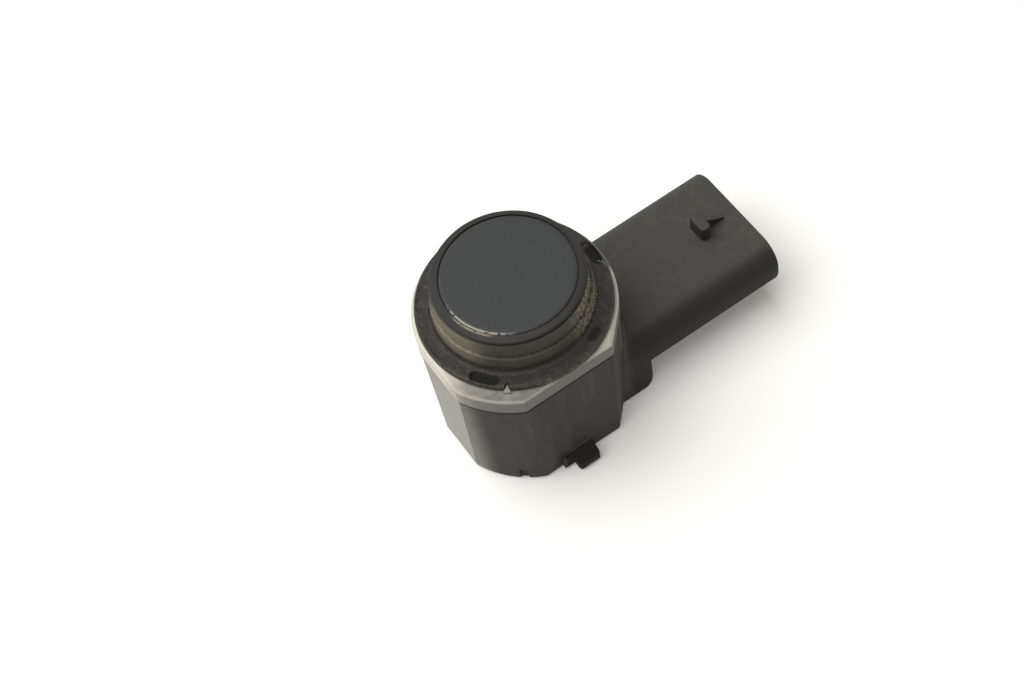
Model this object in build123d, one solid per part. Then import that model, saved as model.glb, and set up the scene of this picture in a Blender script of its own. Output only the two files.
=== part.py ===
from build123d import *
import os
from math import acos, atan2, cos, hypot, radians, sin, sqrt, tan

# Millimetres. The sensing axis is Z, the back plane is z = 0, the face looks up and the plug side is +X.

# Rounding of small moulded edges, and how far a cutting body runs past the face it opens
edge_break = 0.1
cut_margin = 1.0

# Heights along the sensing axis, stacked from the back plane
housing_height = 17.4
clamp_ring_height = 2.5
flange_thickness = 0.85
neck_height = 5.15
face_proud = 0.1

# Outline of the housing: a circle with one squared corner towards -X -Y, which keys the sensor
key_drop_x = 0.13
key_drop_y = 0.55
key_corner_reach = 1.05
key_end_y = 2.2
key_end_x = 5.4
ring_overhang = 0.12
draft_angle = 1.5
key_corner_draft = 2.9
housing_top_chamfer = 0.25
housing_foot_fillet = 0.5
foot_notch_angle = 231.0
foot_notch_width = 1.0
foot_notch_depth = 0.35
foot_notch_height = 2.4

# Bores inside the housing
bore_wall = 1.65
bore_clearance = 0.35
board_depth = 7.2
shelf_width = 1.1
spigot_depth = 1.1
spigot_wall = 0.45
spigot_clearance = 0.08

# Plug shroud and its socket
shroud_width = 16.1
shroud_height = 7.2
shroud_corner = 3.1
shroud_underside = 3.3
shroud_length = 19.1
shroud_wall = 1.15
socket_depth = 12.7
mouth_fillet = 0.3
mouth_lead_in = 0.35
root_block_length = 1.4
root_block_corner = 2.2
keying_rib_width = 0.8
keying_rib_height = 0.7
keying_rib_length = 9.0

# Latch nose on top of the shroud, with a narrow ramp behind it
nose_setback = 6.0
nose_length = 1.4
nose_width = 2.9
nose_corner = 0.6
nose_height = 2.15
nose_rounding = 0.25
nose_ramp_width = 0.6
nose_ramp_length = 2.5
nose_ramp_step = 0.3
nose_ramp_end = 0.3

# Snap lugs at the housing's foot
lug_width = 2.85
lug_shift = -0.2
lug_barb = 0.9
lug_foot = 0.5
lug_tip_height = 1.0
lug_ramp_height = 1.6
lug_rounding = 0.35
lug_shoulder_width = 1.3
lug_shoulder_setback = 0.4
lug_shoulder_height = 1.9

# Membrane cup
face_radius = 7.58
face_rim_thickness = 1.6
face_edge_rounding = 0.2
cup_step = 0.58
cup_height = 9.3
membrane_thickness = 0.8
pot_end_wall = 1.5
pot_side_wall = 3.2

# Rubber decoupling ring
groove_gap = 0.17
lip_width = 0.95
lip_height = 0.42
lip_fall = 0.14
lip_rounding = 0.24
seam_height = 0.16
seam_depth = 0.35
neck_step = 0.17
ledge_drop = 2.85
ledge_width = 0.34
neck_flare = 0.55
cove_radius = 0.55
flange_width = 1.85
flange_edge_rounding = 0.3
skirt_step = 0.7
skirt_clearance = 0.15
snap_groove_depth = 0.5
snap_bead_clearance = 0.12
snap_bead_height = 1.0
snap_bead_rounding = 0.3
skirt_foot_taper = 0.5
skirt_foot_rounding = 0.2
rubber_clearance = 0.05
retaining_lip_width = 0.8
retaining_lip_height = 0.7
dimple_length = 3.4
dimple_width = 1.15
dimple_depth = 0.35
dimple_inset = 1.05
dimple_angle = 38.0

# Retaining ring
ring_lip_height = 0.9
ring_lip_clearance = 0.06
ring_chamfer = 0.25
tooth_angle = 232.0
tooth_width = 1.1
tooth_reach = 0.55
tooth_proud = 0.2
tooth_gap = 0.06

# Piezo disc, damping foam and lead wires inside the cup
piezo_margin = 0.3
piezo_thickness = 0.35
foam_clearance = 0.1
foam_depth = 4.6
wire_radius = 0.15
wire_inset = 1.8
wire_bend = 0.5
wire_straight = 0.9
wire_passage_clearance = 0.12

# Contact carrier and its two pins
carrier_thickness = 1.4
carrier_boss_height = 1.0
carrier_boss_clearance = 0.2
pin_radius = 0.4
pin_spacing = 5.08
pin_clearance = 0.03
pin_top_proud = 0.6
pin_collar_radius = 0.75
pin_collar_height = 0.5
pin_tail = 0.5

# Circuit board
board_thickness = 1.0
board_clearance = 0.15
hole_clearance = 0.08

# Plug terminals
terminal_pitch = 3.4
blade_width = 1.2
blade_thickness = 0.63
blade_reach = 7.0
blade_tip_chamfer = 0.18
leg_inset = 2.25
leg_width = 0.63
leg_bend = 0.5
leg_tail = 0.7

# Transformer below the board, placed by shares of the lower bore's radius
transformer_place = (-0.52, 0.393)
transformer_base_radius = 2.7
transformer_base_thickness = 0.7
transformer_base_chamfer = 0.15
core_flange_radius = 2.4
core_flange_share = 0.17
core_waist_radius = 1.1
core_foot_gap = 1.5
winding_radius = 2.15
winding_rounding = 0.2
winding_clearance = 0.03

# Storage capacitor below the board
capacitor_wall_gap = 0.85
capacitor_angle = 222.0
capacitor_base = 4.3
capacitor_base_thickness = 0.8
capacitor_base_chamfer = 0.8
capacitor_radius = 2.0
capacitor_foot_gap = 1.6
capacitor_rounding = 0.35
capacitor_neck_depth = 0.18
capacitor_neck_height = 1.5

# Surface-mounted parts, as length, width and height, placed by shares of the board's radius
ceramic_size = (2.0, 1.25, 1.0)
ceramic_cap = 0.45
ceramic_places = [(-0.48, 0.375, 90), (-0.51, -0.333, 90), (0.0, 0.69, 0)]
resistor_size = (1.6, 0.8, 0.45)
resistor_cap = 0.3
resistor_places = [(0.0, 0.31, 0), (-0.75, 0.0, 90), (0.44, 0.615, 0)]
terminal_film = 0.03
diode_size = (2.7, 1.6, 1.1)
diode_lead = (0.5, 0.7, 0.15)
diode_chamfer = 0.12
diode_place = (0.25, -0.655)
chip_size = 5.0
chip_height = 0.9
chip_place_y = -0.54
chip_pads = 6
chip_pad_size = (0.28, 0.3, 0.1)
chip_pad_pitch = 0.65
chip_dot_radius = 0.3
chip_dot_depth = 0.08

# Potting compound in the back opening
potting_recess = 0.5
potting_thickness = 2.4
potting_meniscus = 0.35

cup_radius = face_radius - cup_step
pot_length = 2 * (cup_radius - pot_end_wall)
pot_width = 2 * (cup_radius - pot_side_wall)
piezo_radius = pot_width / 2 - piezo_margin
wire_spacing = 2 * (piezo_radius - wire_inset)
retaining_lip_radius = cup_radius - retaining_lip_width
lip_radius = face_radius + lip_width
neck_radius = lip_radius + neck_step
neck_foot_radius = neck_radius + neck_flare
dimple_radius = neck_foot_radius + dimple_inset
flange_radius = neck_foot_radius + flange_width
skirt_radius = neck_radius + skirt_step
upper_bore_radius = skirt_radius + bore_clearance
lower_bore_radius = upper_bore_radius - shelf_width
body_radius = upper_bore_radius + bore_wall
board_radius = upper_bore_radius - board_clearance
key_corner_foot = body_radius + key_corner_reach - housing_height * tan(radians(key_corner_draft))
lug_reach = body_radius + lug_barb
lug_shoulder_reach = body_radius - lug_shoulder_setback
root_block_end = body_radius + root_block_length
shroud_end = body_radius + shroud_length
socket_floor = shroud_end - socket_depth
socket_height = shroud_underside + shroud_height / 2
nose_steep_face = shroud_end - nose_setback
leg_position = lower_bore_radius - leg_inset

ring_top = housing_height + clamp_ring_height
ring_lip_top = housing_height + ring_lip_height
flange_top = ring_top + flange_thickness
rim_top = flange_top + neck_height
face_top = rim_top + face_proud
cup_bottom = face_top - cup_height
membrane_inside = face_top - membrane_thickness
carrier_bottom = cup_bottom - carrier_thickness
skirt_bottom = carrier_bottom - retaining_lip_height
board_shelf_height = housing_height - board_depth
board_top = board_shelf_height + board_thickness
potting_top = potting_recess + potting_thickness
transformer_x, transformer_y = [share * lower_bore_radius for share in transformer_place]
core_top = board_shelf_height - transformer_base_thickness
core_height = core_top - potting_top - core_foot_gap
core_flange_thickness = core_height * core_flange_share
capacitor_polar_radius = lower_bore_radius - capacitor_radius - capacitor_wall_gap
capacitor_height = board_shelf_height - capacitor_base_thickness - potting_top - capacitor_foot_gap

ON_BASE = (Align.CENTER, Align.CENTER, Align.MIN)
FROM_LEFT = (Align.MIN, Align.CENTER, Align.CENTER)


def post(radius, bottom, top, x=0.0, y=0.0):
    """Upright round bar between two heights."""
    return Pos(x, y, bottom) * Cylinder(radius, top - bottom, align=ON_BASE)


def turned(*corners):
    """Solid of revolution about Z from (radius, height, corner rounding) points."""
    points = [(radius, height) for radius, height, _ in corners]
    roundings = [rounding for _, _, rounding in corners]
    outline = FilletPolyline(*points, radius=roundings, close=True)
    return revolve(Plane.XZ * make_face(outline), Axis.Z)


def keyed_outline(height, grow=0.0, corner_reach=key_corner_reach):
    """Face of the keyed outline at a height, grown outwards by a distance."""
    round_radius = body_radius + grow
    flat_x = -(body_radius - key_drop_x + grow)
    flat_y = -(body_radius - key_drop_y + grow)
    corner_radius = body_radius + corner_reach + grow
    corner_y = -sqrt(corner_radius**2 - flat_x**2)
    corner_x = -sqrt(corner_radius**2 - flat_y**2)
    diagonal = (atan2(corner_y, flat_x) + atan2(flat_y, corner_x)) / 2
    side_angle = atan2(key_end_y, flat_x)
    front_angle = atan2(flat_y, key_end_x)
    side_tangent = side_angle - acos(round_radius / hypot(flat_x, key_end_y))
    front_tangent = front_angle + acos(round_radius / hypot(key_end_x, flat_y))
    back = (side_tangent + front_tangent) / 2
    side_end = (flat_x, key_end_y)
    front_end = (key_end_x, flat_y)
    side_touch = (round_radius * cos(side_tangent), round_radius * sin(side_tangent))
    front_touch = (round_radius * cos(front_tangent), round_radius * sin(front_tangent))
    back_point = (round_radius * cos(back), round_radius * sin(back))
    corner_point = (corner_radius * cos(diagonal), corner_radius * sin(diagonal))
    outline = [
        Line(side_touch, side_end),
        Line(side_end, (flat_x, corner_y)),
        ThreePointArc((flat_x, corner_y), corner_point, (corner_x, flat_y)),
        Line((corner_x, flat_y), front_end),
        Line(front_end, front_touch),
        ThreePointArc(front_touch, back_point, side_touch),
    ]
    return Pos(0, 0, height) * make_face(outline)


def shroud_section(x, wall=0.0):
    """Flat oval section of the plug shroud at a station along X, inset by a wall."""
    width = shroud_width - 2 * wall
    height = shroud_height - 2 * wall
    section = RectangleRounded(width, height, shroud_corner - wall)
    return Plane.YZ.offset(x) * Pos(0, socket_height) * section


def tapered_body():
    """Keyed outer form with draft, most at its corner, an eased top edge and a rounded foot."""
    outline = keyed_outline(housing_height, corner_reach=key_corner_reach + cut_margin)
    body = extrude(outline, amount=housing_height, dir=(0, 0, -1), taper=draft_angle)
    body &= Cone(key_corner_foot, body_radius + key_corner_reach, housing_height, align=ON_BASE)
    body = fillet(body.faces().sort_by(Axis.Z)[0].edges(), housing_foot_fillet)
    return chamfer(body.faces().sort_by(Axis.Z)[-1].edges(), housing_top_chamfer)


def root_block():
    """Block that carries the shroud down to the back plane."""
    block = Box(root_block_end, shroud_width, socket_height, align=(Align.MIN, Align.CENTER, Align.MIN))
    outer = block.edges().filter_by(Axis.Z).group_by(Axis.X)[-1]
    block = fillet(outer, root_block_corner)
    return fillet(block.faces().sort_by(Axis.Z)[0].edges().group_by(Axis.X)[1:], housing_foot_fillet)


def latch_nose():
    """Stud that holds the mating plug, steep towards the housing, with a ramp that falls to the mouth."""
    deck = shroud_underside + shroud_height
    root = deck - shroud_wall / 2
    top = deck + nose_height
    centre = nose_steep_face + nose_length / 2
    back = nose_steep_face + nose_length
    plan = RectangleRounded(nose_length, nose_width, nose_corner)
    stud = Pos(centre, 0, root) * extrude(plan, amount=top - root)
    stud = fillet(stud.faces().sort_by(Axis.Z)[-1].edges(), nose_rounding)
    ramp = Polyline(
        (centre, root),
        (centre, top - nose_ramp_step),
        (back, top - nose_ramp_step),
        (back + nose_ramp_length, deck + nose_ramp_end),
        (back + nose_ramp_length, root),
        close=True,
    )
    return stud + extrude(Plane.XZ * make_face(ramp), amount=nose_ramp_width / 2, both=True)


def snap_lug(side):
    """Barbed lug near the foot with a low shoulder beside it, on the +Y or the -Y side."""
    root = lower_bore_radius + shelf_width
    tip_top = lug_foot + lug_tip_height
    profile = Polyline(
        (root, lug_foot),
        (lug_reach, lug_foot),
        (lug_reach, tip_top),
        (root, tip_top + lug_ramp_height),
        close=True,
    )
    lug = extrude(Plane.YZ * make_face(profile), amount=lug_width / 2, both=True)
    lug = fillet(lug.edges().filter_by(Axis.Z).group_by(Axis.Y)[-1], lug_rounding)
    shoulder = Box(
        lug_shoulder_width,
        lug_shoulder_reach - root,
        lug_shoulder_height,
        align=(Align.MAX, Align.MIN, Align.MIN),
    )
    lug = Pos(lug_shift, 0, 0) * (lug + Pos(-lug_width / 2, root, lug_foot) * shoulder)
    return lug if side > 0 else mirror(lug, Plane.XZ)


def foot_notch():
    """Shallow nick across the foot of the keyed corner."""
    cut = Box(2 * foot_notch_depth, foot_notch_width, 2 * foot_notch_height)
    return Rot(0, 0, foot_notch_angle) * Pos(key_corner_foot, 0, 0) * cut


def keying_ribs():
    """Two ribs low on the socket's rounded ends, which stop the plug from going in upside down."""
    inner_half = shroud_width / 2 - shroud_wall
    ribs = []
    for side in (-1, 1):
        y = side * (inner_half - keying_rib_height / 2)
        rib = Box(keying_rib_length, keying_rib_height * 2, keying_rib_width, align=FROM_LEFT)
        ribs.append(Pos(socket_floor, y + side * keying_rib_height / 2, socket_height) * rib)
    return ribs


def housing():
    """One moulding: keyed body, plug shroud, latch nose and snap lugs, bored for what it holds."""
    shell = tapered_body() + root_block()
    shell += extrude(shroud_section(0), amount=shroud_end)
    shell = fillet(shell.faces().sort_by(Axis.X)[-1].edges(), mouth_fillet)
    shell += snap_lug(1) + snap_lug(-1)
    shell -= foot_notch()
    shell -= post(upper_bore_radius, board_shelf_height, housing_height + cut_margin)
    shell -= post(lower_bore_radius, -cut_margin, board_shelf_height)
    spigot_outer = upper_bore_radius + spigot_wall + spigot_clearance
    shell -= post(spigot_outer, housing_height - spigot_depth, housing_height + cut_margin)
    socket = extrude(shroud_section(socket_floor, shroud_wall), amount=socket_depth)
    mouth = shroud_section(shroud_end - mouth_lead_in, shroud_wall)
    socket += extrude(mouth, amount=mouth_lead_in, taper=-45)
    for rib in keying_ribs():
        socket -= rib
    shell -= socket
    for place in TERMINALS.values():
        shell -= terminal(place)
    return shell + latch_nose()


def terminal(place):
    """Flat blade in the socket whose inner end turns up through the board."""
    y = place * terminal_pitch
    tip = socket_floor + blade_reach
    half = blade_thickness / 2
    leg_top = board_top + leg_tail
    outline = FilletPolyline(
        (tip, socket_height - half),
        (leg_position - half, socket_height - half),
        (leg_position - half, leg_top),
        (leg_position + half, leg_top),
        (leg_position + half, socket_height + half),
        (tip, socket_height + half),
        radius=[0, leg_bend + blade_thickness, 0, 0, leg_bend, 0],
        close=True,
    )
    blade = extrude(Plane.XZ * make_face(outline), amount=blade_width / 2, both=True)
    blade = chamfer(blade.faces().sort_by(Axis.X)[-1].edges(), blade_tip_chamfer)
    shoulder = board_shelf_height - blade_width
    spare = (blade_width - leg_width) / 2
    for side in (-1, 1):
        edge = side * (leg_width + spare) / 2
        trim = Box(4 * blade_thickness, spare, leg_top - shoulder, align=ON_BASE)
        blade -= Pos(leg_position, edge, shoulder) * trim
    return Pos(0, y, 0) * blade


def retaining_ring():
    """Light plastic ring on the housing's rim: spigot below, snap lip inside, one tooth on top."""
    ring = extrude(keyed_outline(housing_height, ring_overhang), amount=clamp_ring_height)
    ring = chamfer(ring.faces().sort_by(Axis.Z)[0].edges(), ring_chamfer)
    ring = chamfer(ring.faces().sort_by(Axis.Z)[-1].edges(), ring_chamfer)
    spigot_outer = upper_bore_radius + spigot_wall
    ring += post(spigot_outer, housing_height - spigot_depth + spigot_clearance, ring_lip_top)
    lip_bore = skirt_radius - snap_groove_depth + ring_lip_clearance
    ring -= post(upper_bore_radius, 0, housing_height)
    ring -= post(lip_bore, housing_height, ring_lip_top)
    ring -= post(skirt_radius + skirt_clearance, ring_lip_top, ring_top + cut_margin)
    return ring + flange_tooth()


def tooth_plan(gap):
    """Triangle pointing at the axis over the flange's edge, grown by a gap on each side."""
    tip = flange_radius - tooth_reach - gap
    root = flange_radius + ring_overhang + ring_chamfer
    half = tooth_width / 2 + gap
    return Rot(0, 0, tooth_angle) * make_face(Polyline((tip, 0), (root, half), (root, -half), close=True))


def flange_tooth():
    """Small tooth that stands beside the flange and stops it from turning."""
    height = flange_thickness + tooth_proud
    return Pos(0, 0, ring_top) * extrude(tooth_plan(0), amount=height)


def dimple(angle):
    """Oval recess in the flange, its long side along the rim."""
    floor = flange_top - dimple_depth
    plan = SlotOverall(dimple_length, dimple_width, rotation=90)
    cut = extrude(plan, amount=dimple_depth + cut_margin)
    return Rot(0, 0, angle) * Pos(dimple_radius, 0, floor) * cut


def decoupling_ring():
    """Rubber moulding: lip round the face, flared neck, flange with dimples, and a skirt that snaps in."""
    face_bore = face_radius + groove_gap
    shoulder = face_top - face_rim_thickness
    bore = cup_radius + rubber_clearance
    seam_top = rim_top - lip_height
    seam_bottom = seam_top - seam_height
    seam_bore = neck_radius - seam_depth
    ledge = rim_top - ledge_drop
    groove = skirt_radius - snap_groove_depth
    bead = upper_bore_radius - snap_bead_clearance
    bead_top = housing_height - ring_lip_clearance
    bead_bottom = bead_top - snap_bead_height
    ring = turned(
        (face_bore, rim_top, edge_break),
        (lip_radius, rim_top - lip_fall, lip_rounding),
        (lip_radius, seam_top, edge_break / 2),
        (seam_bore, seam_top, 0),
        (seam_bore, seam_bottom, 0),
        (neck_radius, seam_bottom, edge_break / 2),
        (neck_radius, ledge, 0),
        (neck_radius + ledge_width, ledge, ledge_width / 3),
        (neck_foot_radius, flange_top, cove_radius),
        (flange_radius, flange_top, flange_edge_rounding),
        (flange_radius, ring_top, edge_break),
        (skirt_radius, ring_top, 0),
        (skirt_radius, ring_lip_top + ring_lip_clearance, 0),
        (groove, ring_lip_top + ring_lip_clearance, 0),
        (groove, bead_top, 0),
        (bead, bead_top, edge_break),
        (bead, bead_bottom, snap_bead_rounding),
        (skirt_radius - skirt_foot_taper, skirt_bottom, skirt_foot_rounding),
        (retaining_lip_radius, skirt_bottom, edge_break),
        (retaining_lip_radius, carrier_bottom, edge_break),
        (bore, carrier_bottom, 0),
        (bore, shoulder, 0),
        (face_bore, shoulder, 0),
    )
    for angle in (0, dimple_angle, 180 - dimple_angle, 180, 180 + dimple_angle, -dimple_angle):
        ring -= dimple(angle)
    notch = Pos(0, 0, ring_top) * extrude(tooth_plan(tooth_gap), amount=flange_thickness + cut_margin)
    return ring - notch


def pot_plan(clearance):
    """Flat-sided oval of the cup's hollow, inset by a clearance."""
    return SlotOverall(pot_length - 2 * clearance, pot_width - 2 * clearance)


def transducer_cup():
    """Aluminium cup: the closed face is the membrane, the oval pot shapes the beam."""
    shoulder = face_top - face_rim_thickness
    cup = turned(
        (0, face_top, 0),
        (face_radius, face_top, face_edge_rounding),
        (face_radius, shoulder, edge_break),
        (cup_radius, shoulder, 0),
        (cup_radius, cup_bottom, edge_break),
        (0, cup_bottom, 0),
    )
    pot = Pos(0, 0, cup_bottom) * extrude(pot_plan(0), amount=membrane_inside - cup_bottom)
    return cup - pot


def piezo_disc():
    """Ceramic disc bonded to the inside of the membrane."""
    return post(piezo_radius, membrane_inside - piezo_thickness, membrane_inside)


def damping_foam():
    """Foam block behind the membrane, with a pocket for the disc and two wire passages."""
    bottom = membrane_inside - foam_depth
    foam = Pos(0, 0, bottom) * extrude(pot_plan(foam_clearance), amount=foam_depth)
    pocket = piezo_thickness + foam_clearance / 2
    foam -= post(piezo_radius + foam_clearance, membrane_inside - pocket, membrane_inside + cut_margin)
    passage = wire_radius + wire_passage_clearance
    for side in (-1, 1):
        foam -= post(passage, bottom - cut_margin, membrane_inside, x=side * wire_spacing / 2)
    return foam


def lead_wire(side):
    """Fine wire from the disc down to the top of its contact pin."""
    disc_x = side * wire_spacing / 2
    pin_x = side * pin_spacing / 2
    disc_face = membrane_inside - piezo_thickness
    pin_top = cup_bottom + carrier_boss_height + pin_top_proud
    knee = membrane_inside - foam_depth - wire_bend
    path = FilletPolyline(
        (disc_x, 0, disc_face),
        (disc_x, 0, knee),
        (pin_x, 0, pin_top + wire_straight / 2),
        (pin_x, 0, pin_top),
        radius=wire_bend / 2,
    )
    section = Plane(origin=(disc_x, 0, disc_face), z_dir=(0, 0, -1)) * Circle(wire_radius)
    return sweep(section, path=path)


def contact_carrier():
    """Plastic disc that closes the cup from behind and guides the two pins."""
    carrier = post(cup_radius - rubber_clearance, carrier_bottom, cup_bottom)
    boss = extrude(pot_plan(carrier_boss_clearance), amount=carrier_boss_height)
    carrier += Pos(0, 0, cup_bottom) * boss
    for side in (-1, 1):
        x = side * pin_spacing / 2
        carrier -= post(pin_radius + pin_clearance, 0, face_top, x=x)
    return carrier


def contact_pin(side):
    """Round pin from the cup down through the board, with a collar under the carrier."""
    x = side * pin_spacing / 2
    top = cup_bottom + carrier_boss_height + pin_top_proud
    bottom = board_shelf_height - pin_tail
    collar_top = carrier_bottom
    pin = turned(
        (0, top, 0),
        (pin_radius, top, edge_break),
        (pin_radius, collar_top, 0),
        (pin_collar_radius, collar_top, 0),
        (pin_collar_radius, collar_top - pin_collar_height, edge_break),
        (pin_radius, collar_top - pin_collar_height, 0),
        (pin_radius, bottom, edge_break),
        (0, bottom, 0),
    )
    return Pos(x, 0, 0) * pin


def circuit_board():
    """Round board on the housing's shelf, drilled for the pins and the terminal legs."""
    board = post(board_radius, board_shelf_height, board_top)
    for side in (-1, 1):
        board -= post(pin_radius + hole_clearance, 0, face_top, x=side * pin_spacing / 2)
    leg_hole = hypot(leg_width, blade_thickness) / 2 + hole_clearance
    for place in TERMINALS.values():
        board -= post(leg_hole, 0, face_top, x=leg_position, y=place * terminal_pitch)
    return board


def transformer_base():
    """Round foot that carries the transformer under the board."""
    bottom = board_shelf_height - transformer_base_thickness
    foot = post(transformer_base_radius, bottom, board_shelf_height, transformer_x, transformer_y)
    return chamfer(foot.faces().sort_by(Axis.Z)[0].edges(), transformer_base_chamfer)


def transformer_core():
    """Ferrite drum: two flanges on a waist."""
    bottom = core_top - core_height
    core = turned(
        (0, core_top, 0),
        (core_flange_radius, core_top, edge_break),
        (core_flange_radius, core_top - core_flange_thickness, edge_break),
        (core_waist_radius, core_top - core_flange_thickness, 0),
        (core_waist_radius, bottom + core_flange_thickness, 0),
        (core_flange_radius, bottom + core_flange_thickness, edge_break),
        (core_flange_radius, bottom, edge_break),
        (0, bottom, 0),
    )
    return Pos(transformer_x, transformer_y, 0) * core


def transformer_winding():
    """Copper winding round the waist."""
    top = core_top - core_flange_thickness - winding_clearance
    bottom = core_top - core_height + core_flange_thickness + winding_clearance
    inner = core_waist_radius + winding_clearance
    winding = turned(
        (inner, top, 0),
        (winding_radius, top, winding_rounding),
        (winding_radius, bottom, winding_rounding),
        (inner, bottom, 0),
    )
    return Pos(transformer_x, transformer_y, 0) * winding


def storage_capacitor():
    """Round can on a chamfered square base, hung under the board with its side to the wall."""
    top = board_shelf_height
    base = Pos(0, 0, top - capacitor_base_thickness) * Box(
        capacitor_base, capacitor_base, capacitor_base_thickness, align=ON_BASE
    )
    base = chamfer(base.edges().filter_by(Axis.Z).group_by(Axis.X)[0], capacitor_base_chamfer)
    can_top = top - capacitor_base_thickness
    neck_top = can_top - capacitor_neck_height / 2
    neck_bottom = can_top - capacitor_neck_height
    can_bottom = can_top - capacitor_height
    neck = capacitor_radius - capacitor_neck_depth
    can = turned(
        (0, can_top, 0),
        (capacitor_radius, can_top, 0),
        (capacitor_radius, neck_top, edge_break),
        (neck, (neck_top + neck_bottom) / 2, edge_break),
        (capacitor_radius, neck_bottom, edge_break),
        (capacitor_radius, can_bottom, capacitor_rounding),
        (0, can_bottom, 0),
    )
    return Rot(0, 0, capacitor_angle) * Pos(capacitor_polar_radius, 0, 0) * (base + can)


def chip_component(size, cap, place):
    """Small oblong part on top of the board, its two metal ends a film thicker than its body."""
    length, width, height = size
    x, y, angle = place
    thin = terminal_film
    body = Box(length - cap, width - 2 * thin, height - 2 * thin, align=ON_BASE)
    part = Pos(0, 0, thin) * body
    for side in (-1, 1):
        part += Pos(side * (length - cap) / 2, 0, 0) * Box(cap, width, height, align=ON_BASE)
    return Pos(x * board_radius, y * board_radius, board_top) * Rot(0, 0, angle) * part


def suppression_diode():
    """Moulded diode with a flat lead at each end, under the board."""
    length, width, height = diode_size
    lead_length, lead_width, lead_thickness = diode_lead
    body = Box(length, width, height, align=(Align.CENTER, Align.CENTER, Align.MAX))
    body = chamfer(body.edges().filter_by(Axis.Z), diode_chamfer)
    reach = length + 2 * lead_length
    lead = Box(reach, lead_width, lead_thickness, align=(Align.CENTER, Align.CENTER, Align.MAX))
    x, y = diode_place
    return Pos(x * board_radius, y * board_radius, board_shelf_height) * (body + lead)


def control_chip():
    """Flat square circuit with a row of pads down each side and a dot at its first pad."""
    body = Pos(0, 0, terminal_film) * Box(chip_size, chip_size, chip_height - terminal_film, align=ON_BASE)
    corner = chip_size / 2 - 3 * chip_dot_radius
    dot = Cylinder(chip_dot_radius, cut_margin, align=ON_BASE)
    body -= Pos(-corner, corner, chip_height - chip_dot_depth) * dot
    pad_width, pad_length, pad_height = chip_pad_size
    for turn in range(4):
        for index in range(chip_pads):
            along = (index - (chip_pads - 1) / 2) * chip_pad_pitch
            pad = Box(pad_length, pad_width, pad_height, align=ON_BASE)
            body += Rot(0, 0, 90 * turn) * Pos(chip_size / 2 - pad_length / 4, along, 0) * pad
    return Pos(0, chip_place_y * board_radius, board_top) * body


def potting_compound():
    """Cast plug that seals the back opening, its rim drawn up the wall."""
    bottom = potting_recess
    return turned(
        (0, bottom + potting_meniscus / 2, 0),
        (lower_bore_radius - 2 * potting_meniscus, bottom + potting_meniscus / 2, potting_meniscus),
        (lower_bore_radius, bottom, 0),
        (lower_bore_radius, potting_top, 0),
        (0, potting_top, 0),
    )


TERMINALS = {"supply": -1, "signal": 0, "ground": 1}

NODES = {
    "housing": housing(),
    "retaining_ring": retaining_ring(),
    "decoupling_ring": decoupling_ring(),
    "transducer_cup": transducer_cup(),
    "piezo_disc": piezo_disc(),
    "damping_foam": damping_foam(),
    "contact_carrier": contact_carrier(),
    "circuit_board": circuit_board(),
    "control_chip": control_chip(),
    "transformer_base": transformer_base(),
    "transformer_core": transformer_core(),
    "transformer_winding": transformer_winding(),
    "storage_capacitor": storage_capacitor(),
    "suppression_diode": suppression_diode(),
    "potting_compound": potting_compound(),
}
for letter, side in (("a", -1), ("b", 1)):
    NODES["contact_pin_" + letter] = contact_pin(side)
    NODES["lead_wire_" + letter] = lead_wire(side)
for number, place in enumerate(ceramic_places, 1):
    NODES[f"ceramic_capacitor_{number}"] = chip_component(ceramic_size, ceramic_cap, place)
for number, place in enumerate(resistor_places, 1):
    NODES[f"resistor_{number}"] = chip_component(resistor_size, resistor_cap, place)
for use, place in TERMINALS.items():
    NODES["terminal_" + use] = terminal(place)

os.makedirs("parts", exist_ok=True)
for name, solid in NODES.items():
    export_step(solid, f"parts/{name}.step")
    print(name, round(solid.volume, 2))
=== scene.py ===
import math
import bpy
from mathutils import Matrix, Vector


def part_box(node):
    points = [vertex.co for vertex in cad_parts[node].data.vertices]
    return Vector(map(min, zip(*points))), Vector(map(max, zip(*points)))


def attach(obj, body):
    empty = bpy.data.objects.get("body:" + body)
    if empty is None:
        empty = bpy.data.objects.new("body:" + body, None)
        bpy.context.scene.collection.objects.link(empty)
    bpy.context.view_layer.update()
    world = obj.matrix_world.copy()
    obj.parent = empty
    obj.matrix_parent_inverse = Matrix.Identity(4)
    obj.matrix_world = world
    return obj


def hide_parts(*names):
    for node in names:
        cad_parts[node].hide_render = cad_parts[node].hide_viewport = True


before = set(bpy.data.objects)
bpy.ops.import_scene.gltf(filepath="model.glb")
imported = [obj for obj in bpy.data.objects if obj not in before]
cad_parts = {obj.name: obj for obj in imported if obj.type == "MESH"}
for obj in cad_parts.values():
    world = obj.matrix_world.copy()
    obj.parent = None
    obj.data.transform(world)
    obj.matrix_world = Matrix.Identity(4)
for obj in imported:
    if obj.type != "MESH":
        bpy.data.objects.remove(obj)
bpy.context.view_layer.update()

from types import SimpleNamespace

import bmesh
import bpy
import numpy as np
from bpy.props import FloatProperty, FloatVectorProperty, IntProperty, PointerProperty
from mathutils import Matrix, Vector, noise

bl_info = {
    "name": "Parking sensor",
    "version": (1, 0, 0),
    "blender": (4, 5, 0),
    "location": "View3D > Sidebar > Sensor",
    "description": "Dresses the CAD frame of an ultrasonic parking sensor",
    "category": "Object",
}

MM = 0.001
SHARP_ANGLE = math.radians(38)
BODY = "root"

# Middles of the marks round the sensing axis, in degrees from +X
# Bearing 208: the membrane's edge is rubbed and carries a painted highlight where it faces the
# light
RUBBED_EDGE_HIGHLIGHT = 208
# Bearing 205: painted highlight on the lip's inner edge
LIP_HIGHLIGHT = 205
# Bearing 186: the side of the neck that faces the light, given dust and painted light
LIT_NECK = 186
LEANING_LIP = 185
SANDY_NECK = 306
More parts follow.
